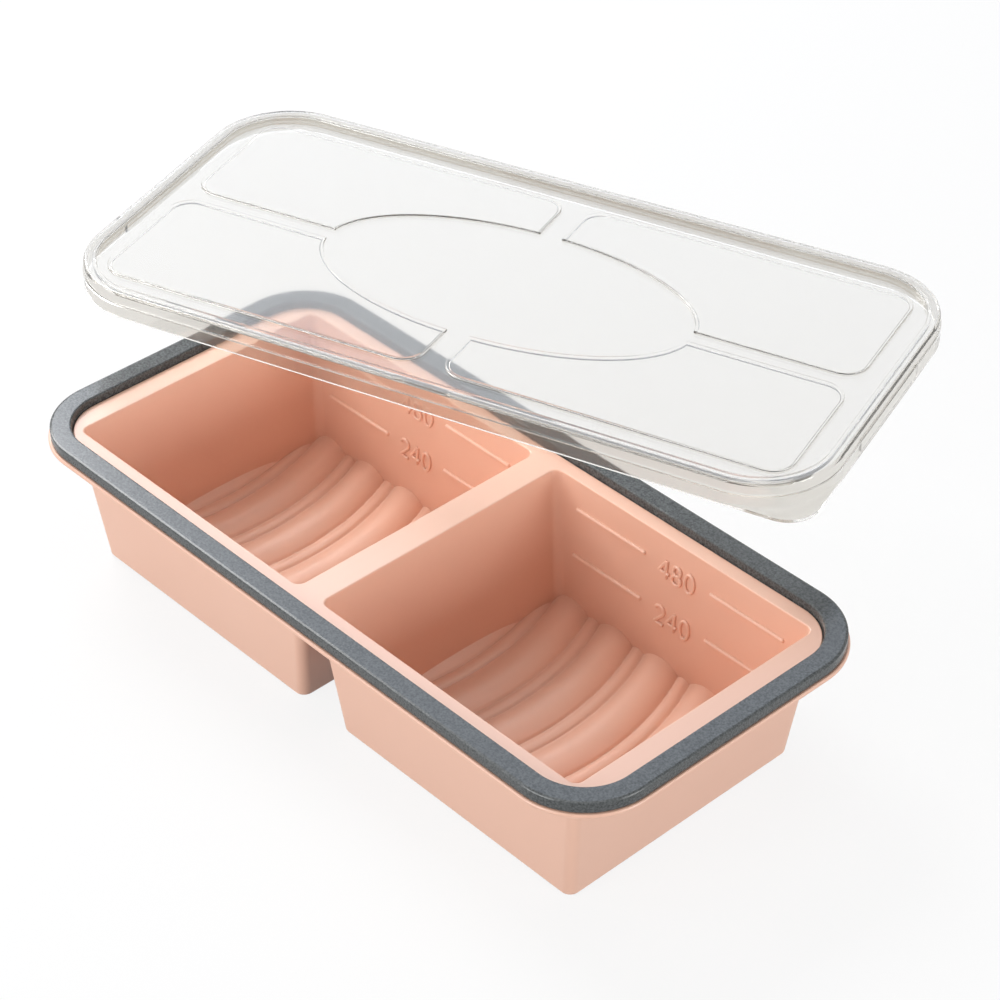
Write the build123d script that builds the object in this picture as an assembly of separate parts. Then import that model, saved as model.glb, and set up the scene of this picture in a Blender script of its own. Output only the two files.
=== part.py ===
from build123d import *
import math
import os

# Silicone freezer container: a two-well tray, a plastic frame on its flange with a steel ring inside, and a clear
# lid that is lifted off and turned. Millimetres, +Z up, origin on the table at the middle of the tray.

# Rim frame, moulded plastic, on the tray's flange
frame_length = 291.0
frame_breadth = 137.0
frame_corner = 27.0
frame_foot_width = 8.2
frame_lean = 0.5
frame_thickness = 4.3
frame_edge = 0.6

# Steel ring in a groove under the rim frame, cut from sheet
steel_width = 3.0
steel_thickness = 1.5
steel_clearance = 0.1

# Flange of the tray: a lip under the frame and a ledge inside it
tray_height = 57.7
lip_overhang = 1.0
lip_thickness = 2.0
lip_edge = 0.7
ledge_rise = 1.4
seat_clearance = 0.1

# Wells of the tray
side_ledge = 5.85
end_ledge = 9.1
divider_width = 11.6
wall = 2.2
floor_thickness = 2.0
side_draft = 5.05
end_draft = 7.35
divider_draft = 7.0
well_corner = 3.3
mouth_edge = 0.5
base_edge = 1.0

# Waved floor: wide lobes with narrow ridges between them, bowed towards +X in plan
lobe_width = 16.7
lobe_height = 3.2
ridge_width = 5.7
ridge_height = 0.9
ridges_per_well = 5
wave_bow_radius = 116.0
wave_shift = -3.1
wave_root = 1.0

# Fill lines, in pairs on the +Y wall of each well
fill_levels = (23.8, 43.3)
fill_line_length = 34.4
fill_line_gap = 30.6
fill_line_height = 1.4
fill_line_rise = 0.65

# Lid
lid_wall = 1.2
lid_clearance = 2.6
lid_skirt = 8.2
shoulder_width = 0.5
shoulder_drop = 2.4
bead_width = 5.3
bead_rise = 2.0
bead_edge = 1.0
border_width = 7.8
panel_rise = 0.8
panel_corner = 9.0
cross_channel = 9.0
long_channel = 6.5
oval_length = 148.0
oval_breadth = 72.0
tab_corner = 12.0
snap_length = 51.0
snap_depth = 1.0
snap_height = 5.0
snap_rise = 0.6

# Place of the lid, held above the tray and turned
lid_hover = 24.0
lid_turn = 19.1
lid_x = -53.3
lid_y = 85.1

# Levels and outlines that follow from the sizes above
lip_top = tray_height - frame_thickness
lip_bottom = lip_top - lip_thickness
ledge_top = lip_top + ledge_rise
lip_length = frame_length + 2 * lip_overhang
lip_breadth = frame_breadth + 2 * lip_overhang
lip_corner = frame_corner + lip_overhang
mouth_end = frame_length / 2 - frame_foot_width - end_ledge
mouth_half_breadth = frame_breadth / 2 - frame_foot_width - side_ledge
mouth_middle = (mouth_end + divider_width / 2) / 2
lid_spread = lid_clearance + lid_wall
lid_length = lip_length + 2 * lid_spread
lid_breadth = lip_breadth + 2 * lid_spread
lid_corner = lip_corner + lid_spread


def slope(angle):
    """Sideways run of a drafted wall for each millimetre of height."""
    return math.tan(math.radians(angle))


def plate(length, breadth, corner, bottom, top):
    """Flat plate with rounded corners, between two heights."""
    return Pos(0, 0, bottom) * extrude(RectangleRounded(length, breadth, corner), top - bottom)


def ring(inward, width, bottom, top):
    """Ring of upright sides that keeps to the rim frame's outline, a distance in from its outer face."""
    length = frame_length - 2 * inward
    breadth = frame_breadth - 2 * inward
    corner = frame_corner - inward
    outside = plate(length, breadth, corner, bottom, top)
    return outside - plate(length - 2 * width, breadth - 2 * width, corner - width, bottom, top)


def well_outline(height, grow):
    """Outline of the +X well's inside at a height above the table, grown outwards."""
    fall = ledge_top - height
    near = divider_width / 2 + fall * slope(divider_draft)
    far = mouth_end - fall * slope(end_draft)
    half_breadth = mouth_half_breadth - fall * slope(side_draft)
    outline = RectangleRounded(far - near + 2 * grow, 2 * (half_breadth + grow), well_corner + grow)
    return Pos((near + far) / 2, 0, height) * outline


def well_block(bottom, top, grow):
    """Drafted block of the +X well's shape between two heights."""
    return loft([well_outline(bottom, grow), well_outline(top, grow)], ruled=True)


def both_wells(block):
    """The block and its mirror image in the other well."""
    return block + mirror(block, Plane.YZ)


def wave_section(middle, y):
    """Cross-section of one waved floor at a distance along Y, with arcs for lobes and ridges."""
    pitch = lobe_width + ridge_width
    start = middle - pitch * ridges_per_well / 2 - lobe_width / 2
    edges = []
    x = start
    for count in range(2 * ridges_per_well + 1):
        width, rise = (ridge_width, ridge_height) if count % 2 else (lobe_width, lobe_height)
        crest = (x + width / 2, y, floor_thickness + rise)
        edges.append(ThreePointArc((x, y, floor_thickness), crest, (x + width, y, floor_thickness)))
        x += width
    root = floor_thickness - wave_root
    edges.append(Polyline((x, y, floor_thickness), (x, y, root), (start, y, root), (start, y, floor_thickness)))
    return make_face(Curve() + edges)


def waved_floor(side):
    """Waves of one well, trimmed to the inside of its walls."""
    reach = mouth_half_breadth
    bow = wave_bow_radius - math.sqrt(wave_bow_radius**2 - reach**2)
    middle = side * mouth_middle + wave_shift - bow
    path = ThreePointArc((middle, -reach, 0), (middle + bow, 0, 0), (middle, reach, 0))
    waves = sweep(wave_section(middle, -reach), path, normal=(0, 1, 0))
    block = well_block(floor_thickness - wave_root, floor_thickness + 2 * lobe_height, wall / 2)
    return waves & (block if side > 0 else mirror(block, Plane.YZ))


def fill_line(x, level):
    """One raised fill line, a long slot shape lying on the drafted +Y wall."""
    lean = slope(side_draft)
    y = mouth_half_breadth - (ledge_top - level) * lean
    face = Plane(origin=(x, y, level), x_dir=(1, 0, 0), z_dir=(0, -1, lean))
    outline = Pos(0, 0, -wall / 2) * SlotOverall(fill_line_length, fill_line_height)
    return extrude(face * outline, wall / 2 + fill_line_rise)


def silicone_tray():
    """Flange, wells, waved floors and fill lines in one moulding."""
    lip = plate(lip_length, lip_breadth, lip_corner, lip_bottom, lip_top)
    lip = chamfer(lip.edges().filter_by(Plane.XY), lip_edge)
    ledge_inset = frame_foot_width + seat_clearance
    ledge = plate(frame_length - 2 * ledge_inset, frame_breadth - 2 * ledge_inset, frame_corner - ledge_inset,
                  lip_bottom, ledge_top)
    shell = well_block(0, ledge_top - lip_edge, wall)
    shell = fillet(shell.edges().group_by(Axis.Z)[0], base_edge)
    tray = lip + ledge + both_wells(shell)
    tray -= both_wells(well_block(floor_thickness, ledge_top + ledge_rise, 0))
    mouths = [edge for edge in tray.edges().group_by(Axis.Z)[-1]
              if edge.bounding_box().max.X < mouth_end + seat_clearance
              and edge.bounding_box().min.X > -mouth_end - seat_clearance
              and abs(edge.center().Y) < mouth_half_breadth + seat_clearance]
    tray = fillet(mouths, mouth_edge)
    for side in (-1, 1):
        tray += waved_floor(side)
        for level in fill_levels:
            for hand in (-1, 1):
                offset = hand * (fill_line_gap + fill_line_length) / 2
                tray += fill_line(side * mouth_middle + offset, level)
    return tray


def rim_frame():
    """Frame on the flange, with a leaning inner face, softened edges and a groove below for the steel ring."""
    frame = plate(frame_length, frame_breadth, frame_corner, lip_top, tray_height)
    frame = fillet(frame.edges().group_by(Axis.Z)[-1], frame_edge)
    foot = frame_foot_width
    crown = frame_foot_width - frame_lean
    low = RectangleRounded(frame_length - 2 * foot, frame_breadth - 2 * foot, frame_corner - foot)
    high = RectangleRounded(frame_length - 2 * crown, frame_breadth - 2 * crown, frame_corner - crown)
    frame -= loft([Pos(0, 0, lip_top) * low, Pos(0, 0, tray_height) * high], ruled=True)
    groove_width = steel_width + 2 * steel_clearance
    groove_top = lip_top + steel_thickness + steel_clearance
    return frame - ring((foot - groove_width) / 2, groove_width, lip_top, groove_top)


def steel_ring():
    """Flat closed ring, lying on the lip in the middle of the groove."""
    return ring((frame_foot_width - steel_width) / 2, steel_width, lip_top, lip_top + steel_thickness)


def lid_panels(inset, bottom, top):
    """Four quarter panels round the middle oval, drawn in for the underside."""
    edge = bead_width + border_width
    length = (lid_length - 2 * edge - cross_channel) / 2
    breadth = (lid_breadth - 2 * edge - long_channel) / 2
    outline = Sketch()
    for x in (-1, 1):
        for y in (-1, 1):
            place = Pos(x * (length + cross_channel) / 2, y * (breadth + long_channel) / 2)
            outline += place * RectangleRounded(length - 2 * inset, breadth - 2 * inset, panel_corner - inset)
    outline -= Ellipse(oval_length / 2 + inset, oval_breadth / 2 + inset)
    return Pos(0, 0, bottom) * extrude(outline, top - bottom)


def lid_form(inset, bottom):
    """Solid below the lid's top surface, or below its underside when drawn in by the wall."""
    crest = bead_rise - inset
    skirt = plate(lid_length - 2 * inset, lid_breadth - 2 * inset, lid_corner - inset, bottom, -shoulder_drop - inset)
    shoulder = shoulder_width + inset
    bead = plate(lid_length - 2 * shoulder, lid_breadth - 2 * shoulder, lid_corner - shoulder, bottom, crest)
    if not inset:
        bead = fillet(bead.edges().group_by(Axis.Z)[-1], bead_edge)
    border = bead_width - inset
    form = skirt + bead
    form -= plate(lid_length - 2 * border, lid_breadth - 2 * border, lid_corner - border, -inset, crest)
    return form + lid_panels(inset, -inset - lid_wall, panel_rise - inset)


def snap_rib():
    """Rib inside the skirt at the +X end, which catches under the tray's lip."""
    rib = Box(snap_depth + lid_wall / 2, snap_length, snap_height, align=(Align.MAX, Align.CENTER, Align.MIN))
    return Pos((lid_length - lid_wall) / 2, 0, snap_rise - lid_skirt) * rib


def clear_lid():
    """Thin lid with an even wall, snap ribs and a lift tab at one corner, set above the tray and turned."""
    lid = lid_form(0, -lid_skirt)
    tab = plate(lid_length, lid_breadth, tab_corner, -lid_skirt, lid_wall - lid_skirt)
    corner = Pos(lid_length / 2 - lid_corner, lid_corner - lid_breadth / 2, -lid_skirt)
    tab &= corner * Box(2 * lid_corner, 2 * lid_corner, 2 * lid_wall, align=(Align.MIN, Align.MAX, Align.CENTER))
    lid = lid + tab - lid_form(lid_wall, -lid_skirt - lid_wall)
    lid += snap_rib() + mirror(snap_rib(), Plane.YZ)
    height = tray_height + lid_hover + lid_skirt
    return Pos(lid_x, lid_y, height) * Rot(0, 0, lid_turn) * lid


os.makedirs("parts", exist_ok=True)
for piece in (silicone_tray, rim_frame, steel_ring, clear_lid):
    export_step(piece(), f"parts/{piece.__name__}.step")
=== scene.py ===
# %% [markdown]
# # Dressing a silicone freezer container
# The container is a soft peach tray with two deep wells, a stiff dark grey frame round its rim and a loose
# clear lid, shown lifted off and turned. The CAD model fixes every size and place. It is loaded first, as a
# frame that nothing here moves, and each visible piece is then modelled again with softer edges and finer
# surfaces. Sizes are written in millimetres and Blender counts in metres, so each one is multiplied by MM
# on its way in.

# %% Load the CAD frame
import math

import bmesh
import bpy
from mathutils import Matrix, Vector


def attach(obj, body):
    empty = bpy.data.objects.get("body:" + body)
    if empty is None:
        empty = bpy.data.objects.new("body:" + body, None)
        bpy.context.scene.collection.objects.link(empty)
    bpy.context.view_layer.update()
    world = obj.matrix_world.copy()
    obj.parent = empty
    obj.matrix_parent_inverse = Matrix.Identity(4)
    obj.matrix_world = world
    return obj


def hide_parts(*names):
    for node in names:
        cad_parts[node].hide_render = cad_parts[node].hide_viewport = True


MM = 0.001

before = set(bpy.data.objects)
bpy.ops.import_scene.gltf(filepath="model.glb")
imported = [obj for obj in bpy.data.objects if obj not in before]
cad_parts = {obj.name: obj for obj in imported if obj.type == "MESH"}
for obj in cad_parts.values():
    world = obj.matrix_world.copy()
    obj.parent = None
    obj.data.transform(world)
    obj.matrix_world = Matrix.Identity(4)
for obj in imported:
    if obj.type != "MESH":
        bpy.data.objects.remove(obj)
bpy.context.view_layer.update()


print("CAD nodes:", ", ".join(sorted(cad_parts)))

# %% [markdown]
# ## Working in edit mode from a script
# Blender's modelling operators act on whatever is selected, and the CAD nodes are selected when they are
# loaded. So a few helpers come first: they make a piece the only selected one, open it in edit mode, select
# the edges or faces that pass a test of place or direction, and close the piece again with its faces
# pointing outwards. Points and faces could be written into a mesh directly, but these are the steps that a
# hand would take.


# %% Helpers to open, select and close
def select_only(piece):
    """Makes a piece the only selected object, and the active one."""
    bpy.ops.object.select_all(action="DESELECT")
    piece.select_set(True)
    bpy.context.view_layer.objects.active = piece


def edit(piece):
    """Opens a piece in edit mode, with nothing else selected."""
    select_only(piece)
    bpy.ops.object.mode_set(mode="EDIT")


def pick(piece, kind, test):
    """Selects the edges or faces that pass a test, and nothing else."""
    bpy.ops.mesh.select_mode(type={"edges": "EDGE", "faces": "FACE"}[kind])
    bpy.ops.mesh.select_all(action="DESELECT")
    mesh = bmesh.from_edit_mesh(piece.data)
    for part in [part for part in getattr(mesh, kind) if test(part)]:
        part.select_set(True)
    bmesh.update_edit_mesh(piece.data)


def close(piece):
    """Points all faces outwards, leaves edit mode and hands the piece back."""
    bpy.ops.mesh.select_all(action="SELECT")
    bpy.ops.mesh.normals_make_consistent(inside=False)
    bpy.ops.object.mode_set(mode="OBJECT")
    return piece


print("selected after loading:", len(bpy.context.selected_objects), "objects")

# %% [markdown]
# ## The flange of the tray
# The tray hangs everything on its flange: a thin lip that shows as a pale line below the grey frame, and a
# ledge that stands a little higher inside it. One section swept round the rim could make both. Two plates
# pressed into each other are easier to measure, and their corner arcs stay concentric. Each plate starts as
# a plane whose four corner points are bevelled, is raised to its height and has its level edges softened.

# %% Outline of the lip
LIP_LENGTH, LIP_BREADTH, LIP_CORNER, LIP_BOTTOM = 292.8, 138.8, 27.9, 51.6
CORNER_STEPS = 24


def set_size(piece, size, place):
    """Gives a new primitive its size and place in millimetres and writes both into its mesh."""
    piece.scale = [value * MM for value in size]
    piece.location = [value * MM for value in place]
    bpy.ops.object.transform_apply(location=True, rotation=True, scale=True)
    return piece


def rounded_sheet(name, length, breadth, corner, steps, height):
    """A flat face with rounded corners at a height, left open in edit mode with the face selected."""
    bpy.ops.object.select_all(action="DESELECT")
    bpy.ops.mesh.primitive_plane_add(size=1)
    sheet = set_size(bpy.context.object, (length, breadth, 1), (0, 0, height))
    sheet.name = name
    edit(sheet)
    bpy.ops.mesh.select_all(action="SELECT")
    bpy.ops.mesh.bevel(offset=corner * MM, segments=steps, affect="VERTICES")
    bpy.ops.mesh.select_mode(type="FACE")
    bpy.ops.mesh.select_all(action="SELECT")
    return sheet


tray = rounded_sheet("tray", LIP_LENGTH, LIP_BREADTH, LIP_CORNER, CORNER_STEPS, LIP_BOTTOM)
print("outline of the lip:", len(bmesh.from_edit_mesh(tray.data).verts), "points")

# %% Lip, raised and softened
LIP_TOP, LIP_SOFTNESS, SOFT_STEPS = 53.4, 0.7, 4
NEARLY = 0.01


def raise_face(rise):
    """Extrudes the selected face straight up, or down where the rise is negative."""
    bpy.ops.mesh.extrude_region_move(TRANSFORM_OT_translate={"value": (0, 0, rise * MM)})


def is_level(edge):
    """True for an edge that lies flat."""
    return abs(edge.verts[0].co.z - edge.verts[1].co.z) < NEARLY * MM


def soften(offset, steps):
    """Rounds the selected edges."""
    bpy.ops.mesh.bevel(offset=offset * MM, segments=steps, affect="EDGES")


def thicken(sheet, rise, softness):
    """Raises a sheet that is open in edit mode to a plate and softens its upper and lower edges."""
    raise_face(rise)
    pick(sheet, "edges", is_level)
    soften(softness, SOFT_STEPS)
    return close(sheet)


thicken(tray, LIP_TOP - LIP_BOTTOM, LIP_SOFTNESS)
print("lip:", len(tray.data.polygons), "faces")

# %% Ledge, joined to the lip
LEDGE_LENGTH, LEDGE_BREADTH, LEDGE_CORNER = 274.4, 120.4, 18.7
LEDGE_TOP, LEDGE_SOFTNESS = 54.8, 0.4
# The ledge starts inside the lip, clear of its underside
LEDGE_BOTTOM = LIP_BOTTOM + 0.5


def combine(piece, tool, operation):
    """Joins a tool shape to a piece, or cuts it away, and removes the tool."""
    bpy.context.view_layer.objects.active = piece
    change = piece.modifiers.new("combine", "BOOLEAN")
    change.operation = operation
    change.solver = "EXACT"
    change.object = tool
    bpy.ops.object.modifier_apply(modifier=change.name)
    bpy.data.objects.remove(tool)


ledge = rounded_sheet("ledge", LEDGE_LENGTH, LEDGE_BREADTH, LEDGE_CORNER, CORNER_STEPS, LEDGE_BOTTOM)
thicken(ledge, LEDGE_TOP - LEDGE_BOTTOM, LEDGE_SOFTNESS)
combine(tray, ledge, "UNION")
print("flange:", len(tray.data.polygons), "faces")

# %% [markdown]
# ## The wells
# Each well tapers towards its floor so that frozen food slides out. The end wall leans most, the divider
# nearly as much and the long walls least. The walls could be drawn as two outlines and bridged. A cube is
# quicker: it gets the mouth's size, its lower face is made smaller and shifted, and its upright edges are
# bevelled. The same helper gives the outside of a well and, without the wall, its hollow.

# %% Walls of a well
MOUTH_END, MOUTH_HALF_BREADTH, DIVIDER = 128.2, 54.45, 11.6
END_DRAFT, SIDE_DRAFT, DIVIDER_DRAFT = 7.35, 5.05, 7.0


def well_walls(height):
    """Places of a well's inner faces at a height, from the tray's middle: divider, end and side wall."""
    fall = LEDGE_TOP - height
    near = DIVIDER / 2 + fall * math.tan(math.radians(DIVIDER_DRAFT))
    far = MOUTH_END - fall * math.tan(math.radians(END_DRAFT))
    half = MOUTH_HALF_BREADTH - fall * math.tan(math.radians(SIDE_DRAFT))
    return near, far, half


for height in (LEDGE_TOP, 0):
    near, far, half = well_walls(height)
    print(f"well at {height} mm: {far - near:.1f} x {2 * half:.1f} mm inside")

# %% Helpers for a tapering block
WELL_CORNER_STEPS = 12
STEEP = 0.9


def add_block(name, size, place):
    """A plain block of a size, with its middle at a place, both in millimetres."""
    bpy.ops.object.select_all(action="DESELECT")
    bpy.ops.mesh.primitive_cube_add(size=1)
    bpy.context.object.name = name
    return set_size(bpy.context.object, size, place)


def faces_down(face):
    """True for a face that looks downwards."""
    return face.normal.z < -STEEP


def well_block(name, side, bottom, top, grow, corner):
    """A block shaped as a well between two heights, left open in edit mode."""
    near, far, half = well_walls(top)
    low_near, low_far, low_half = well_walls(bottom)
    length, low_length = far - near + 2 * grow, low_far - low_near + 2 * grow
    middle, low_middle = side * (near + far) / 2, side * (low_near + low_far) / 2
    well = add_block(name, (length, 2 * (half + grow), top - bottom), (middle, 0, (top + bottom) / 2))
    edit(well)
    pick(well, "faces", faces_down)
    taper = (low_length / length, (low_half + grow) / (half + grow), 1)
    bpy.ops.transform.resize(value=taper, center_override=(middle * MM, 0, bottom * MM))
    bpy.ops.transform.translate(value=((low_middle - middle) * MM, 0, 0))
    pick(well, "edges", lambda edge: not is_level(edge))
    soften(corner, WELL_CORNER_STEPS)
    return well


print(f"well corners: {WELL_CORNER_STEPS} steps of {90 / WELL_CORNER_STEPS} degrees")

# %% Outside of both wells
WALL, OUTER_CORNER = 2.2, 3.8
BASE_EDGE, BASE_STEPS = 1.0, 7
# The shells end inside the flange, below the ledge's softened edge
SHELL_TOP = LEDGE_TOP - 0.7


def level_at(height):
    """A test for edges that lie flat at a height."""
    return lambda edge: is_level(edge) and abs(edge.verts[0].co.z - height * MM) < NEARLY * MM


for side in (-1, 1):
    shell = well_block("shell", side, 0, SHELL_TOP, WALL, OUTER_CORNER)
    pick(shell, "edges", level_at(0))
    soften(BASE_EDGE, BASE_STEPS)
    combine(tray, close(shell), "UNION")
print("tray with wells:", len(tray.data.polygons), "faces")

# %% [markdown]
# ## The waved floor
# Wide pillows with narrow ridges between them run across each floor, bowed in plan like a ripple, and a
# fine notch follows each crease. The section could be swept along an arc. A fine grid is simpler and easier
# to soften: every point is lifted by the section of the waves at its distance from the middle ridge, and a
# short average rounds the creases as a mould cutter would. The grid then gets a thickness and trims the
# block that hollows the well, so that the floor is cut in one go with the walls.

# %% Section of the waves
FLOOR = 2.0
LOBE_WIDTH, LOBE_RISE = 16.7, 3.2
RIDGE_WIDTH, RIDGE_RISE = 5.7, 0.9
WAVE_PITCH = LOBE_WIDTH + RIDGE_WIDTH
NOTCH_DEPTH, NOTCH_WIDTH = 0.4, 0.4


def arc_rise(offset, width, rise):
    """Height of a low arc above its ends, at an offset from its middle."""
    radius = ((width / 2) ** 2 + rise**2) / (2 * rise)
    return math.sqrt(radius**2 - offset**2) - radius + rise


def wave_rise(across):
    """Height of the waves at a distance from the middle ridge."""
    offset = abs((across / WAVE_PITCH + 0.5) % 1 - 0.5) * WAVE_PITCH
    notch = NOTCH_DEPTH * math.exp(-(((offset - RIDGE_WIDTH / 2) / NOTCH_WIDTH) ** 2))
    if offset < RIDGE_WIDTH / 2:
        return arc_rise(offset, RIDGE_WIDTH, RIDGE_RISE) - notch
    return arc_rise(WAVE_PITCH / 2 - offset, LOBE_WIDTH, LOBE_RISE) - notch


print(f"waves: lobes {wave_rise(WAVE_PITCH / 2):.2f} mm high, ridges {wave_rise(0):.2f} mm high")

# %% Grid of waves for one well
WELL_MIDDLE = (MOUTH_END + DIVIDER / 2) / 2
WAVE_BOW, WAVE_SHIFT = 116.0, -3.1
CREASE, CREASE_SAMPLES = 0.2, 3
GRID_LENGTHWISE, GRID_ACROSS = 400, 54
SHEET_MARGIN, SHEET_THICKNESS = 6, 4.5


def floor_height(x, y, middle):
    """Height of the waved floor above the table, with its creases rounded."""
    across = x - middle + WAVE_BOW - math.sqrt(WAVE_BOW**2 - y**2)
    steps = range(-CREASE_SAMPLES, CREASE_SAMPLES + 1)
    samples = [wave_rise(across + CREASE * step / CREASE_SAMPLES) for step in steps]
    return FLOOR + sum(samples) / len(samples)


def wave_sheet(side):
    """A thick waved sheet that covers one well's floor."""
    near, far, half = well_walls(FLOOR + LOBE_RISE)
    size = (far - near + SHEET_MARGIN, 2 * half + SHEET_MARGIN, 1)
    bpy.ops.object.select_all(action="DESELECT")
    bpy.ops.mesh.primitive_grid_add(x_subdivisions=GRID_LENGTHWISE, y_subdivisions=GRID_ACROSS, size=1)
    sheet = set_size(bpy.context.object, size, (side * (near + far) / 2, 0, 0))
    middle = side * WELL_MIDDLE + WAVE_SHIFT
    for point in sheet.data.vertices:
        point.co.z = floor_height(point.co.x / MM, point.co.y / MM, middle) * MM
    thickness = sheet.modifiers.new("thickness", "SOLIDIFY")
    thickness.thickness = SHEET_THICKNESS * MM
    thickness.offset = -1
    bpy.ops.object.modifier_apply(modifier=thickness.name)
    return sheet


print(f"middle ridge: {floor_height(0, 0, 0):.2f} mm above the table")

# %% Hollow out the wells
INNER_CORNER = 3.3
MOUTH_EDGE, MOUTH_STEPS = 0.5, 6
# It starts just below the creases, so that their notches have a flat bottom, and ends above the ledge
HOLLOW_BOTTOM, HOLLOW_REACH = FLOOR - 0.1, 3


def rising_round(radius, steps):
    """Profile of sideways distances and heights that goes up and turns through a quarter of a circle."""
    turns = [math.pi / 2 * step / steps for step in range(1, steps + 1)]
    return [(radius * (1 - math.cos(turn)), radius * math.sin(turn)) for turn in turns]


def faces_up(face):
    """True for a face that looks upwards."""
    return face.normal.z > STEEP


def well_hollow(side):
    """The hollow of one well, flared at its mouth."""
    hollow = well_block("hollow", side, HOLLOW_BOTTOM, LEDGE_TOP - MOUTH_EDGE, 0, INNER_CORNER)
    near, far, half = well_walls(LEDGE_TOP - MOUTH_EDGE)
    centre = (side * (near + far) / 2 * MM, 0, LEDGE_TOP * MM)
    out, up = 0.0, 0.0
    pick(hollow, "faces", faces_up)
    for next_out, next_up in rising_round(MOUTH_EDGE, MOUTH_STEPS):
        raise_face(next_up - up)
        wider = (far - near + 2 * next_out) / (far - near + 2 * out)
        broader = (half + next_out) / (half + out)
        bpy.ops.transform.resize(value=(wider, broader, 1), center_override=centre)
        out, up = next_out, next_up
    raise_face(HOLLOW_REACH)
    return close(hollow)


for side in (-1, 1):
    hollow = well_hollow(side)
    combine(hollow, wave_sheet(side), "DIFFERENCE")
    combine(tray, hollow, "DIFFERENCE")
print("tray with hollows:", len(tray.data.polygons), "faces")

# %% [markdown]
# ## Fill lines
# On the far wall of each well, two pairs of raised lines show how full it is. They are low bars with round
# ends and rounded tops, as a ball cutter leaves them in the mould. The wall itself could be extruded there,
# but it would have to be cut up first. So one bar is modelled lying flat, copied with its own mesh to each
# place and turned on to the leaning wall. All bars are joined to the tray later, in one step with the
# numbers.

# %% One bar and its copies
FILL_LEVELS = {43.3: "480", 23.8: "240"}
BAR_LENGTH, BAR_HEIGHT, BAR_RISE, BAR_GAP = 34.4, 1.8, 0.95, 30.6
BAR_END_ROUND, BAR_TOP_ROUND, BAR_STEPS = 0.8, 0.78, 5


def fill_bar():
    """One raised line, lying flat with its middle at the origin."""
    bar = add_block("bar", (BAR_LENGTH, BAR_HEIGHT, 2 * BAR_RISE), (0, 0, 0))
    edit(bar)
    pick(bar, "edges", lambda edge: not is_level(edge))
    soften(BAR_END_ROUND, BAR_STEPS)
    pick(bar, "edges", level_at(BAR_RISE))
    soften(BAR_TOP_ROUND, BAR_STEPS)
    return close(bar)


def set_on_wall(piece, x, level):
    """Turns a piece that lies flat, face up, on to the far wall and moves it to a level."""
    piece.rotation_euler = (math.pi / 2 - math.radians(SIDE_DRAFT), 0, 0)
    piece.location = (x * MM, well_walls(level)[2] * MM, level * MM)
    select_only(piece)
    bpy.ops.object.transform_apply(location=True, rotation=True, scale=True)
    return piece


first_bar = fill_bar()
marks = []
for side in (-1, 1):
    for level in FILL_LEVELS:
        for hand in (-1, 1):
            bar = first_bar.copy()
            bar.data = first_bar.data.copy()
            bpy.context.collection.objects.link(bar)
            marks.append(set_on_wall(bar, side * WELL_MIDDLE + hand * (BAR_GAP + BAR_LENGTH) / 2, level))
bpy.data.objects.remove(first_bar)
print("fill lines:", len(marks))

# %% [markdown]
# ## Numbers between the lines
# A plain raised number stands between each pair of lines. Blender's text could make it, but its strokes
# have flat tops and sharp corners. Here a digit is a few pen strokes: a point is extruded along each path,
# the path becomes a round bar, and a fine voxel remesh blends the bars where they meet.

# %% Strokes of the digits
ARC_DEGREES, ARC_LEAST = 12, 8


def oval(x, y, half_width, half_height, start=0, sweep=360):
    """Points along an oval, or along a part of it, anticlockwise in degrees from its right."""
    count = max(ARC_LEAST, sweep // ARC_DEGREES)
    turns = [math.radians(start + sweep * step / count) for step in range(count + 1)]
    return [(x + half_width * math.cos(turn), y + half_height * math.sin(turn)) for turn in turns]


# Each digit is one high with its middle at 0, 0, and its strokes cross or meet like a pen's
DIGIT_STROKES = {
    "0": [oval(0, 0, 0.28, 0.5)],
    "2": [[(-0.3, -0.5)] + oval(-0.01, 0.22, 0.28, 0.28, -38, 205), [(-0.3, -0.5), (0.3, -0.5)]],
    "4": [[(0.14, -0.5), (0.14, 0.5)], [(0.14, 0.5), (-0.33, -0.2)], [(-0.33, -0.2), (0.34, -0.2)]],
    "8": [oval(0, 0.25, 0.23, 0.25), oval(0, -0.25, 0.28, 0.25)],
}
print("strokes in each digit:", {digit: len(strokes) for digit, strokes in DIGIT_STROKES.items()})

# %% Helper for one round stroke
STROKE_RADIUS, STROKE_STEPS = 0.66, 3


def stroke(points):
    """A round stroke through points in millimetres, lying flat."""
    bpy.ops.object.select_all(action="DESELECT")
    bpy.ops.mesh.primitive_plane_add(size=1)
    edit(bpy.context.object)
    bpy.ops.mesh.select_mode(type="VERT")
    bpy.ops.mesh.select_all(action="SELECT")
    bpy.ops.mesh.merge(type="CENTER")
    here = (0.0, 0.0)
    for there in points:
        step = ((there[0] - here[0]) * MM, (there[1] - here[1]) * MM, 0)
        if there is points[0]:
            bpy.ops.transform.translate(value=step)
        else:
            bpy.ops.mesh.extrude_vertices_move(TRANSFORM_OT_translate={"value": step})
        here = there
    bpy.ops.object.mode_set(mode="OBJECT")
    bpy.ops.object.convert(target="CURVE")
    line = bpy.context.object.data
    line.bevel_depth = STROKE_RADIUS * MM
    line.bevel_resolution = STROKE_STEPS
    line.use_fill_caps = True
    bpy.ops.object.convert(target="MESH")
    return bpy.context.object


print(f"strokes: {2 * STROKE_RADIUS:.2f} mm wide")

# %% Numbers, and all marks joined to the tray
DIGIT_HEIGHT, DIGIT_PITCH, DIGIT_DROP = 7.4, 6.0, 1.2
STROKE_RISE, BLEND_VOXEL, BLEND_ROUNDS = 0.32, 0.16, 4


def gather(pieces):
    """Joins pieces into the first of them, the only one left selected."""
    bpy.ops.object.select_all(action="DESELECT")
    for piece in pieces:
        piece.select_set(True)
    bpy.context.view_layer.objects.active = pieces[0]
    bpy.ops.object.join()
    return bpy.context.object


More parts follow.
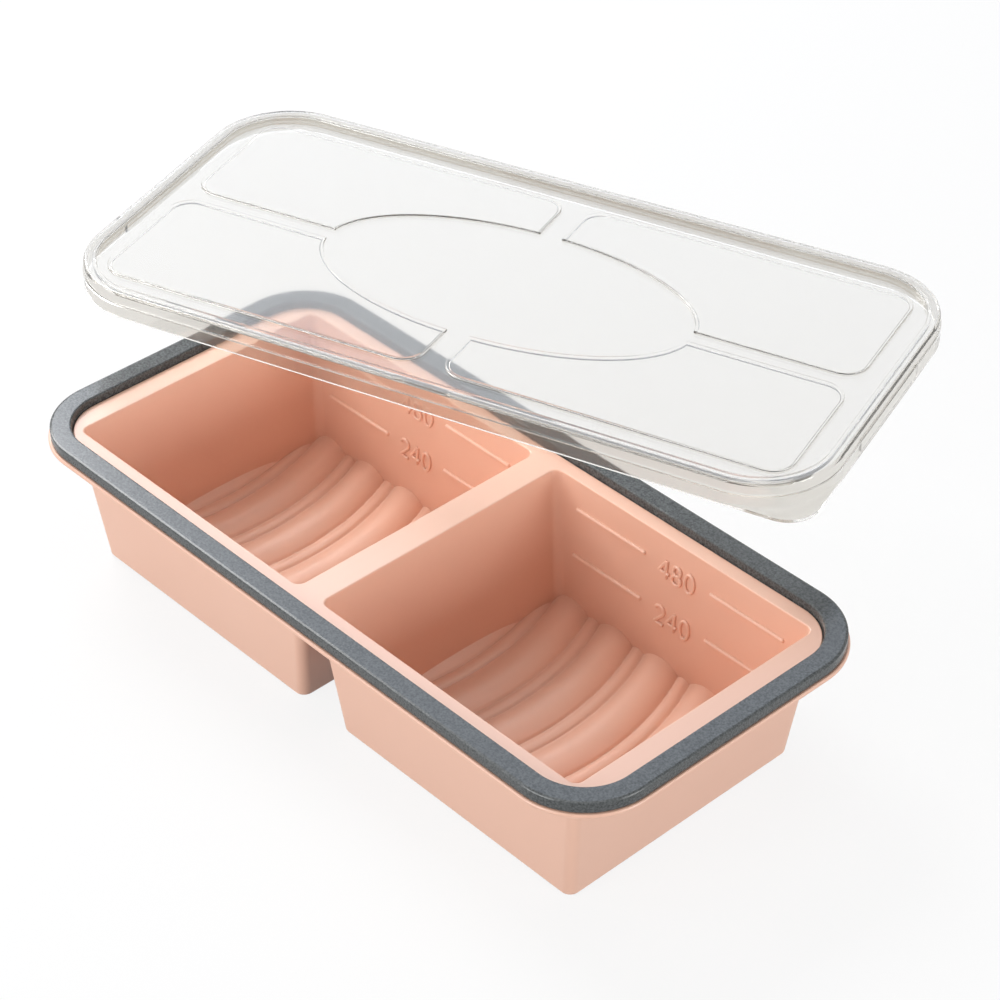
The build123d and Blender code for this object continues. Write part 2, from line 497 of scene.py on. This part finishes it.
def number(digits):
    """Raised digits with round strokes, lying flat with their middle at the origin."""
    strokes = []
    for place, digit in enumerate(digits):
        shift = (place - (len(digits) - 1) / 2) * DIGIT_PITCH
        for path in DIGIT_STROKES[digit]:
            strokes.append(stroke([(shift + x * DIGIT_HEIGHT, y * DIGIT_HEIGHT) for x, y in path]))
    piece = gather(strokes)
    blend = piece.modifiers.new("blend", "REMESH")
    blend.mode = "VOXEL"
    blend.voxel_size = BLEND_VOXEL * MM
    bpy.ops.object.modifier_apply(modifier=blend.name)
    soft = piece.modifiers.new("soft", "SMOOTH")
    soft.iterations = BLEND_ROUNDS
    bpy.ops.object.modifier_apply(modifier=soft.name)
    piece.location = (0, 0, STROKE_RISE * MM)
    bpy.ops.object.transform_apply(location=True, rotation=True, scale=True)
    return piece


for side in (-1, 1):
    for level, digits in FILL_LEVELS.items():
        marks.append(set_on_wall(number(digits), side * WELL_MIDDLE, level - DIGIT_DROP))
combine(tray, gather(marks), "UNION")
print("tray with marks:", len(tray.data.polygons), "faces")

# %% [markdown]
# ## Smooth shading that keeps flat walls flat
# Rounded edges should shade as one with the walls, and flat walls should stay flat. A subdivided mesh would
# give that with many more faces. Smooth shading by angle and weighted normals do it with none: the large
# faces decide, and the narrow rounded strips follow them. The tray is then finished and takes the place of
# its CAD node.

# %% Shading, and the tray takes the CAD node's place
SOFT_ANGLE = 40


def shade(piece, angle):
    """Smooths a piece up to an angle and lets its large faces lead."""
    select_only(piece)
    bpy.ops.object.shade_smooth_by_angle(angle=math.radians(angle))
    even = piece.modifiers.new("even", "WEIGHTED_NORMAL")
    even.keep_sharp = True
    bpy.ops.object.modifier_apply(modifier=even.name)


def stand_for(piece, name, node, body):
    """Names a finished piece, puts it in a CAD node's place and prints its size."""
    piece.name = name
    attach(piece, body)
    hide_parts(node)
    print(f"{name}:", sum(len(face.vertices) - 2 for face in piece.data.polygons), "triangles")


shade(tray, SOFT_ANGLE)
stand_for(tray, "peach_tray", "silicone_tray", "tray")

# %% [markdown]
# ## The rim frame
# A stiff plastic ring rests on the lip and keeps the soft tray in shape. Its outer edge is a short steep
# step and then a faint slope, which catches the light as a thin line, and its foot and inner edge are
# rounded. It could be a section swept round the rim, but a rounded sheet keeps the corner arcs concentric:
# it is raised, and then inset from above and from below along the section, with a groove for the steel
# ring. Bridging the two inset faces opens the ring and makes its leaning inner wall.

# %% Outside and top of the frame
FRAME_LENGTH, FRAME_BREADTH, FRAME_CORNER, FRAME_TOP = 291.0, 137.0, 27.0, 57.7
FRAME_CROWN, INNER_EDGE = 7.7, 0.7
FOOT_EDGE, RIM_STEPS = 0.5, 8
FINE_CORNER_STEPS = 32
# Inward distances and heights of the outer edge
OUTER_EDGE = [(0.2, 0.3), (0.9, 0.5)]
EDGE_WIDTH, EDGE_RISE = OUTER_EDGE[-1]


def follow(profile):
    """Insets the selected face along a profile of inward distances and heights, from where it is now."""
    inward, height = 0.0, 0.0
    for next_inward, next_height in profile:
        bpy.ops.mesh.inset(thickness=(next_inward - inward) * MM, depth=(next_height - height) * MM)
        inward, height = next_inward, next_height


def falling_round(radius, steps):
    """Profile of sideways distances and heights that goes level and turns down by a quarter of a circle."""
    turns = [math.pi / 2 * step / steps for step in range(1, steps + 1)]
    return [(radius * math.sin(turn), radius * (math.cos(turn) - 1)) for turn in turns]


rim = rounded_sheet("rim", FRAME_LENGTH, FRAME_BREADTH, FRAME_CORNER, FINE_CORNER_STEPS, LIP_TOP)
raise_face(FRAME_TOP - LIP_TOP - EDGE_RISE)
pick(rim, "edges", level_at(LIP_TOP))
soften(FOOT_EDGE, RIM_STEPS)
pick(rim, "faces", faces_up)
follow(OUTER_EDGE)
follow([(FRAME_CROWN - EDGE_WIDTH - INNER_EDGE, 0)])
follow(falling_round(INNER_EDGE, RIM_STEPS))
print("frame from above:", len(bmesh.from_edit_mesh(rim.data).faces), "faces")

# %% Groove and inner wall of the frame
FRAME_FOOT = 8.2
GROOVE_WIDTH, GROOVE_DEPTH = 3.2, 1.6
GROOVE_INSET = (FRAME_FOOT - GROOVE_WIDTH) / 2
STRIP_CORNERS = 8
RIM_ANGLE = 13


def is_whole_outline(face):
    """True for a face that still has the whole rounded outline, with more corners than any strip."""
    return len(face.verts) > STRIP_CORNERS


pick(rim, "faces", lambda face: faces_down(face) and is_whole_outline(face))
follow([(GROOVE_INSET - FOOT_EDGE, 0)])
raise_face(GROOVE_DEPTH)
follow([(GROOVE_WIDTH, 0)])
raise_face(-GROOVE_DEPTH)
follow([(GROOVE_INSET, 0)])
pick(rim, "faces", is_whole_outline)
bpy.ops.mesh.bridge_edge_loops()
shade(close(rim), RIM_ANGLE)
stand_for(rim, "grey_rim", "rim_frame", "tray")

# %% [markdown]
# ## The lid
# The lid is one thin moulding with an even wall: a skirt, a shoulder, a flat bead with a rounded outer
# edge, a border and four raised panels round an oval. A surface with a Solidify modifier would give a wall
# too, but it can thin the steep sides of the panels. So the top surface is drawn up from a rounded sheet as
# one solid form, and a second form, drawn in by the wall, is taken out of it from below. Every feature then
# has its underside as well.

# %% Panels round the oval
LID_LENGTH, LID_BREADTH, LID_CORNER = 300.6, 146.6, 31.8
BEAD_WIDTH, BORDER = 5.3, 7.8
CROSS_CHANNEL, LONG_CHANNEL = 9.0, 6.5
PANEL_LENGTH = (LID_LENGTH - 2 * (BEAD_WIDTH + BORDER) - CROSS_CHANNEL) / 2
PANEL_BREADTH = (LID_BREADTH - 2 * (BEAD_WIDTH + BORDER) - LONG_CHANNEL) / 2
PANEL_RISE, PANEL_ROOT, PANEL_CORNER, PANEL_CORNER_STEPS = 0.8, 1, 9.0, 10
PANEL_EDGE, PANEL_EDGE_STEPS = 0.35, 3
OVAL_LENGTH, OVAL_BREADTH, OVAL_DEPTH, OVAL_POINTS = 148.0, 72.0, 10, 160


def panel_at(x, y, wall):
    """One raised panel, in the quarter of the lid that two signs give."""
    length, breadth, corner = PANEL_LENGTH - 2 * wall, PANEL_BREADTH - 2 * wall, PANEL_CORNER - wall
    panel = rounded_sheet("panel", length, breadth, corner, PANEL_CORNER_STEPS, -PANEL_ROOT - wall)
    raise_face(PANEL_ROOT + PANEL_RISE)
    bpy.ops.mesh.select_all(action="SELECT")
    along, across = x * (PANEL_LENGTH + CROSS_CHANNEL) / 2, y * (PANEL_BREADTH + LONG_CHANNEL) / 2
    bpy.ops.transform.translate(value=(along * MM, across * MM, 0))
    return close(panel)


def lid_panels(wall):
    """Four raised panels round the oval, drawn in by the wall."""
    panels = gather([panel_at(x, y, wall) for x in (-1, 1) for y in (-1, 1)])
    bpy.ops.object.select_all(action="DESELECT")
    bpy.ops.mesh.primitive_cylinder_add(vertices=OVAL_POINTS, radius=0.5, depth=1)
    size = (OVAL_LENGTH + 2 * wall, OVAL_BREADTH + 2 * wall, OVAL_DEPTH)
    combine(panels, set_size(bpy.context.object, size, (0, 0, 0)), "DIFFERENCE")
    edit(panels)
    pick(panels, "edges", level_at(PANEL_RISE - wall))
    soften(PANEL_EDGE, PANEL_EDGE_STEPS)
    return close(panels)


print(f"lid panels: {PANEL_LENGTH:.1f} x {PANEL_BREADTH:.1f} mm each, before the oval is cut")

# %% Top form of the lid
LID_SKIRT = 8.2
SHOULDER_WIDTH, SHOULDER_DROP, SHOULDER_SLOPE = 0.5, 2.4, 0.3
BEAD_RISE, BEAD_EDGE, BEAD_STEPS = 2.0, 1.0, 5
BEAD_INNER_EDGE, BEAD_INNER_STEPS = 0.35, 3


def lid_form(name, wall, bottom):
    """Solid below the lid's top surface, or below its underside where a wall is given."""
    length, breadth, corner = LID_LENGTH - 2 * wall, LID_BREADTH - 2 * wall, LID_CORNER - wall
    form = rounded_sheet(name, length, breadth, corner, FINE_CORNER_STEPS, bottom)
    shoulder = -SHOULDER_DROP - wall
    edge = BEAD_EDGE - wall / 2
    raise_face(shoulder - bottom)
    follow([(SHOULDER_WIDTH, SHOULDER_SLOPE)])
    raise_face(BEAD_RISE - wall - edge - shoulder - SHOULDER_SLOPE)
    follow(rising_round(edge, BEAD_STEPS))
    follow([(BEAD_WIDTH - 2 * wall - SHOULDER_WIDTH - edge - BEAD_INNER_EDGE, 0)])
    follow(falling_round(BEAD_INNER_EDGE, BEAD_INNER_STEPS))
    raise_face(BEAD_INNER_EDGE - BEAD_RISE)
    close(form)
    combine(form, lid_panels(wall), "UNION")
    return form


lid = lid_form("lid", 0, -LID_SKIRT)
print("top form of the lid:", len(lid.data.polygons), "faces")

# %% [markdown]
# ## Lift tab and snap ribs
# At one corner the skirt runs out into a flat tab, for a finger to lift the lid. Inside each short end is a
# long rib that catches under the tray's lip. The tab is a thin sheet of the lid's size with a tighter
# corner, of which two bisects keep only that corner, so its sides run into the skirt without a step. The
# ribs are softened blocks.

# %% Lift tab, and the inside taken out
TAB_CORNER, TAB_CORNER_STEPS = 12.0, 16
LID_WALL = 1.2
# The inside form starts below the skirt, so that the cut is open there
INSIDE_BOTTOM = -LID_SKIRT - 2
# Direction and distance of the two cuts that keep one corner of the tab's sheet
TAB_CUTS = [((1, 0, 0), LID_LENGTH / 2 - LID_CORNER), ((0, -1, 0), LID_BREADTH / 2 - LID_CORNER)]

tab = rounded_sheet("tab", LID_LENGTH, LID_BREADTH, TAB_CORNER, TAB_CORNER_STEPS, -LID_SKIRT)
raise_face(LID_WALL)
for axis, place in TAB_CUTS:
    bpy.ops.mesh.select_all(action="SELECT")
    point = tuple(place * MM * direction for direction in axis)
    bpy.ops.mesh.bisect(plane_co=point, plane_no=axis, use_fill=True, clear_inner=True)
combine(lid, close(tab), "UNION")
combine(lid, lid_form("lid_inside", LID_WALL, INSIDE_BOTTOM), "DIFFERENCE")
print("thin lid with its tab:", len(lid.data.polygons), "faces")

# %% Snap ribs
SNAP_LENGTH, SNAP_DEPTH, SNAP_HEIGHT, SNAP_RISE = 51.0, 1.0, 5.0, 0.6
SNAP_EDGE, SNAP_STEPS = 0.4, 3
# Half of the skirt's wall holds the rib
SNAP_BLOCK = SNAP_DEPTH + LID_WALL / 2

for side in (-1, 1):
    level = SNAP_RISE - LID_SKIRT + SNAP_HEIGHT / 2
    place = (side * (LID_LENGTH - LID_WALL - SNAP_BLOCK) / 2, 0, level)
    rib = add_block("rib", (SNAP_BLOCK, SNAP_LENGTH, SNAP_HEIGHT), place)
    edit(rib)
    bpy.ops.mesh.select_all(action="SELECT")
    soften(SNAP_EDGE, SNAP_STEPS)
    combine(lid, close(rib), "UNION")
print("lid with snap ribs:", len(lid.data.polygons), "faces")

# %% Lid, turned and set above the tray
LID_TURN, LID_PLACE = 19.1, (-53.3, 85.1, 89.9)

lid.rotation_euler = (0, 0, math.radians(LID_TURN))
lid.location = [value * MM for value in LID_PLACE]
select_only(lid)
bpy.ops.object.transform_apply(location=True, rotation=True, scale=True)
shade(lid, SOFT_ANGLE)
stand_for(lid, "clear_cover", "clear_lid", "lid")

# %% [markdown]
# ## Materials
# Colours are written as the hex values that a paint program shows. Shaders work with linear light, so one
# function converts them. Another adds a node, sets it and links what feeds it. Patterns read Object
# coordinates, which stay with the piece when it moves, and their scales come from sizes in millimetres.


# %% Helpers for materials
def linear(hex_colour):
    """Linear RGBA of an sRGB hex colour."""
    parts = [int(hex_colour[place : place + 2], 16) / 255 for place in (1, 3, 5)]
    light = [part / 12.92 if part <= 0.04045 else ((part + 0.055) / 1.055) ** 2.4 for part in parts]
    return (*light, 1.0)


def add(tree, kind, values=None, feeds=None, **settings):
    """Adds a node with its settings, socket values and links."""
    made = tree.nodes.new(kind)
    for name, value in settings.items():
        setattr(made, name, value)
    for socket, value in (values or {}).items():
        made.inputs[socket].default_value = value
    for socket, source in (feeds or {}).items():
        tree.links.new(source, made.inputs[socket])
    return made


def new_material(name):
    """An empty material with its node tree."""
    material = bpy.data.materials.new(name)
    material.use_nodes = True
    material.node_tree.nodes.clear()
    return material, material.node_tree


def dress(piece, material):
    """Gives a piece one material."""
    piece.data.materials.clear()
    piece.data.materials.append(material)
    print(f"{piece.name}: {material.name}, {len(material.node_tree.nodes)} nodes")


print(f"middle grey #808080 is {linear('#808080')[0]:.3f} in linear light")

# %% [markdown]
# ## Moulded silicone
# The tray is silicone rubber, cured in a steel mould. One flat colour would look like paper. Two close
# tints in wide soft clouds, a trace of grain and a little sheen give it body, and a real scattering shader
# isn't needed, because the walls are thick and well filled with pigment.

# %% Silicone of the tray
# To the eye: a warm even peach with a broad soft highlight and a faint powdery glow where the surface turns
# away. The grain is much finer on the real tray and is drawn at 1.1 mm, so that it shows.
CLOUD_SIZE, SKIN_GRAIN, SKIN_GRAIN_HEIGHT = 30, 1.1, 0.1

silicone, tree = new_material("moulded_silicone")
place = add(tree, "ShaderNodeTexCoord").outputs["Object"]
cloud = add(tree, "ShaderNodeTexNoise", {"Scale": 1 / (CLOUD_SIZE * MM), "Detail": 3}, {"Vector": place})
tint = add(tree, "ShaderNodeMix", feeds={"Factor": cloud.outputs["Fac"]}, data_type="RGBA")
tint.inputs["A"].default_value = linear("#ebb9a0")
tint.inputs["B"].default_value = linear("#efbfa7")
grain = add(tree, "ShaderNodeTexNoise", {"Scale": 1 / (SKIN_GRAIN * MM), "Detail": 2}, {"Vector": place})
relief = {"Strength": 0.06, "Distance": SKIN_GRAIN_HEIGHT * MM}
bump = add(tree, "ShaderNodeBump", relief, {"Height": grain.outputs["Fac"]})
skin = add(
    tree,
    "ShaderNodeBsdfPrincipled",
    {"Roughness": 0.4, "IOR": 1.5, "Specular IOR Level": 1.0, "Sheen Weight": 0.12, "Sheen Roughness": 0.4},
    {"Base Color": tint.outputs["Result"], "Normal": bump.outputs["Normal"]},
)
add(tree, "ShaderNodeOutputMaterial", feeds={"Surface": skin.outputs["BSDF"]})
dress(tray, silicone)

# %% [markdown]
# ## Textured polypropylene
# The frame is a moulded plastic, most likely polypropylene, with a fine pitted texture that breaks up the
# light. A picture of the texture would show its seams. One noise drives both the tint and the bump, so
# that each light speck is also a small rise.

# %% Plastic of the rim frame
# To the eye: a dark grey with small light specks and a dull gloss that gathers into a line along the outer
# edge. The pits are much finer on the real frame and are drawn at 0.7 mm, so that they show.
SPECK_SIZE, SPECK_HEIGHT = 0.7, 0.1

plastic, tree = new_material("textured_polypropylene")
place = add(tree, "ShaderNodeTexCoord").outputs["Object"]
grain = add(tree, "ShaderNodeTexNoise", {"Scale": 1 / (SPECK_SIZE * MM), "Detail": 1}, {"Vector": place})
speck = add(tree, "ShaderNodeMapRange", {"From Min": 0.3, "From Max": 0.7}, {"Value": grain.outputs["Fac"]})
tint = add(tree, "ShaderNodeMix", feeds={"Factor": speck.outputs["Result"]}, data_type="RGBA")
tint.inputs["A"].default_value = linear("#2b2f30")
tint.inputs["B"].default_value = linear("#565a5b")
relief = {"Strength": 0.3, "Distance": SPECK_HEIGHT * MM}
bump = add(tree, "ShaderNodeBump", relief, {"Height": grain.outputs["Fac"]})
skin = add(
    tree,
    "ShaderNodeBsdfPrincipled",
    {"Roughness": 0.24, "IOR": 1.5, "Specular IOR Level": 0.5},
    {"Base Color": tint.outputs["Result"], "Normal": bump.outputs["Normal"]},
)
add(tree, "ShaderNodeOutputMaterial", feeds={"Surface": skin.outputs["BSDF"]})
dress(rim, plastic)

# %% [markdown]
# ## Clear polypropylene
# The lid is a clear plastic, most likely polypropylene, moulded thin. It bends light as glass does, so a
# transmitting shader fits it. Real light also comes through it on to the tray, but Cycles would draw that
# as a dark noisy shadow. For shadow rays alone the lid is therefore a plain grey filter.

# %% Clear plastic of the lid
# To the eye: nearly colourless, with a slight haze, and bright or dark lines wherever the sheet bends.
clear, tree = new_material("clear_polypropylene")
path = add(tree, "ShaderNodeLightPath")
skin = add(
    tree,
    "ShaderNodeBsdfPrincipled",
    {"Base Color": linear("#e0ddd7"), "Roughness": 0.06, "IOR": 1.49, "Transmission Weight": 0.95},
)
gap = add(tree, "ShaderNodeBsdfTransparent", {"Color": linear("#eaeaea")})
choice = add(
    tree,
    "ShaderNodeMixShader",
    feeds={"Fac": path.outputs["Is Shadow Ray"], 1: skin.outputs["BSDF"], 2: gap.outputs["BSDF"]},
)
add(tree, "ShaderNodeOutputMaterial", feeds={"Surface": choice.outputs["Shader"]})
dress(lid, clear)

# %% [markdown]
# ## Rolled steel
# A flat steel ring lies in the frame's groove and stiffens the rim. It is hidden once the frame is on, so
# it keeps its CAD solid and gets only the finish of plain rolled sheet.

# %% Steel of the hidden ring
# To the eye: a neutral grey metal whose gloss varies a little from place to place.
MOTTLE_SIZE = 2

steel, tree = new_material("rolled_steel")
place = add(tree, "ShaderNodeTexCoord").outputs["Object"]
mottle = add(tree, "ShaderNodeTexNoise", {"Scale": 1 / (MOTTLE_SIZE * MM), "Detail": 4}, {"Vector": place})
gloss = add(tree, "ShaderNodeMapRange", {"To Min": 0.25, "To Max": 0.45}, {"Value": mottle.outputs["Fac"]})
skin = add(
    tree,
    "ShaderNodeBsdfPrincipled",
    {"Base Color": linear("#b4b5b8"), "Metallic": 1.0},
    {"Roughness": gloss.outputs["Result"]},
)
add(tree, "ShaderNodeOutputMaterial", feeds={"Surface": skin.outputs["BSDF"]})
dress(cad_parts["steel_ring"], steel)

# %% [markdown]
# ## White surroundings
# The container stands on a white floor in a white room. Enough light to make paper render as white would
# bleach the object. So the floor and the world are bright only for rays that look at them, straight, by
# gloss or through the lid, and dim for light that scatters. The floor keeps a share of its own shading,
# which holds the object's shadow.


# %% Helper that tells looking from scattered light
def looking(tree):
    """1 for a ray that looks at the surroundings, straight, by gloss or through clear plastic, else 0."""
    path = add(tree, "ShaderNodeLightPath")
    direct = {0: path.outputs["Is Camera Ray"], 1: path.outputs["Is Glossy Ray"]}
    either = add(tree, "ShaderNodeMath", feeds=direct, operation="MAXIMUM")
    through = {0: either.outputs["Value"], 1: path.outputs["Is Transmission Ray"]}
    looks = add(tree, "ShaderNodeMath", feeds=through, operation="MAXIMUM")
    first = add(tree, "ShaderNodeMath", {1: 0.5}, {0: path.outputs["Diffuse Depth"]}, operation="LESS_THAN")
    both = {0: looks.outputs["Value"], 1: first.outputs["Value"]}
    return add(tree, "ShaderNodeMath", feeds=both, operation="MULTIPLY").outputs["Value"]


paper, tree = new_material("white_paper")
seen = looking(tree)
print("test for looking rays:", len(tree.nodes), "nodes")

# %% White floor
# The floor lies a little below the tray's feet, so that the two don't flicker into each other
FLOOR_METRES, FLOOR_DROP = 12, 0.2
GLOW_SHARE = 0.86

bpy.ops.object.select_all(action="DESELECT")
bpy.ops.mesh.primitive_plane_add(size=FLOOR_METRES)
floor = bpy.context.object
floor.name = "studio_floor"
floor.location = (0, 0, -FLOOR_DROP * MM)
share = add(tree, "ShaderNodeMapRange", {"To Max": GLOW_SHARE}, {"Value": seen})
tone = add(tree, "ShaderNodeMix", feeds={"Factor": seen}, data_type="RGBA")
tone.inputs["A"].default_value = linear("#9a9a9a")
tone.inputs["B"].default_value = linear("#f2f2f2")
matt = add(tree, "ShaderNodeBsdfDiffuse", feeds={"Color": tone.outputs["Result"]})
bright = add(tree, "ShaderNodeEmission", {"Strength": 1.0})
choice = add(
    tree,
    "ShaderNodeMixShader",
    feeds={"Fac": share.outputs["Result"], 1: matt.outputs["BSDF"], 2: bright.outputs["Emission"]},
)
add(tree, "ShaderNodeOutputMaterial", feeds={"Surface": choice.outputs["Shader"]})
dress(floor, paper)

# %% White room
ROOM_LIGHT, ROOM_WHITE = 0.15, 1.0

world = bpy.data.worlds.new("white_room")
bpy.context.scene.world = world
world.use_nodes = True
tree = world.node_tree
background = tree.nodes["Background"]
background.inputs["Color"].default_value = linear("#ffffff")
levels = {"To Min": ROOM_LIGHT, "To Max": ROOM_WHITE}
strength = add(tree, "ShaderNodeMapRange", levels, {"Value": looking(tree)})
tree.links.new(strength.outputs["Result"], background.inputs["Strength"])
print(f"{world.name}: {ROOM_LIGHT} as light, {ROOM_WHITE} when seen")

# %% [markdown]
# ## Soft light
# The photograph has soft light from behind on the left, with fill from the other sides. One large lamp would
# do for the walls, but each slope of the frame and the lid mirrors one direction. So there are six square
# lamps: one behind and one behind on the left give the shading in the wells and the line along the frame,
# one on the left and one on either side of the camera fill the outer walls, and a weak one above evens out
# the lid.

# %% Lamps
TRAY_MIDDLE = Vector((0, 0, 30 * MM))
# Name, azimuth and elevation in degrees, distance and side in metres, power in watts, colour
LAMPS = [
    ("window", 139, 36, 1.4, 1.0, 5.0, "#dbe9ff"),
    ("left", 170, 43, 1.3, 0.58, 11.0, "#ffffff"),
    ("front_left", 226, 31, 1.0, 0.25, 1.0, "#ffffff"),
    ("front", 266, 12, 1.2, 0.8, 11.8, "#ffffff"),
    ("right", 10, 4, 1.2, 0.5, 10.6, "#ffffff"),
    ("top", 0, 88, 1.0, 0.6, 1.4, "#ffffff"),
]


def softbox(name, azimuth, elevation, away, size, power, colour):
    """A square area lamp, out of the camera's sight and turned to the tray."""
    around, up = math.radians(azimuth), math.radians(elevation)
    towards = Matrix.Rotation(around, 4, "Z") @ Matrix.Rotation(-up, 4, "Y")
    bpy.ops.object.select_all(action="DESELECT")
    bpy.ops.object.light_add(type="AREA", location=towards @ Vector((away, 0, 0)) + TRAY_MIDDLE)
    lamp = bpy.context.object
    lamp.name = name
    lamp.visible_camera = False
    lamp.data.size = size
    lamp.data.energy = power
    lamp.data.color = linear(colour)[:3]
    lamp.rotation_euler = (TRAY_MIDDLE - lamp.location).to_track_quat("-Z", "Y").to_euler()


for lamp_values in LAMPS:
    softbox(*lamp_values)
print("lamps:", len(LAMPS))

# %% [markdown]
# ## Camera
# The photograph was taken from above the tray's near right-hand corner with a long lens. Its camera was
# worked out from the tray's straight edges, as a place, three angles and a focal length in pixels. Those go
# in as they are, which keeps the render's edges on the photograph's.

# %% Camera of the photograph
CAMERA_PLACE = (603.3, -521.7, 676.9)
AZIMUTH, ELEVATION, ROLL = 47.43, 37.483, -0.46
FOCAL_PIXELS, PICTURE_PIXELS, SENSOR = 2937.2, 1000, 36.0
FAR_CLIP_METRES = 50

bpy.ops.object.select_all(action="DESELECT")
bpy.ops.object.camera_add()
camera = bpy.context.object
camera.data.sensor_width = SENSOR
camera.data.lens = SENSOR * FOCAL_PIXELS / PICTURE_PIXELS
camera.data.clip_end = FAR_CLIP_METRES
turn = Matrix.Rotation(math.radians(AZIMUTH), 4, "Z")
tilt = Matrix.Rotation(math.radians(90 - ELEVATION), 4, "X")
roll = Matrix.Rotation(math.radians(ROLL), 4, "Z")
camera.matrix_world = Matrix.Translation([value * MM for value in CAMERA_PLACE]) @ turn @ tilt @ roll
bpy.context.scene.camera = camera
bpy.context.scene.view_settings.view_transform = "Standard"
print(f"camera: {camera.data.lens:.1f} mm lens")
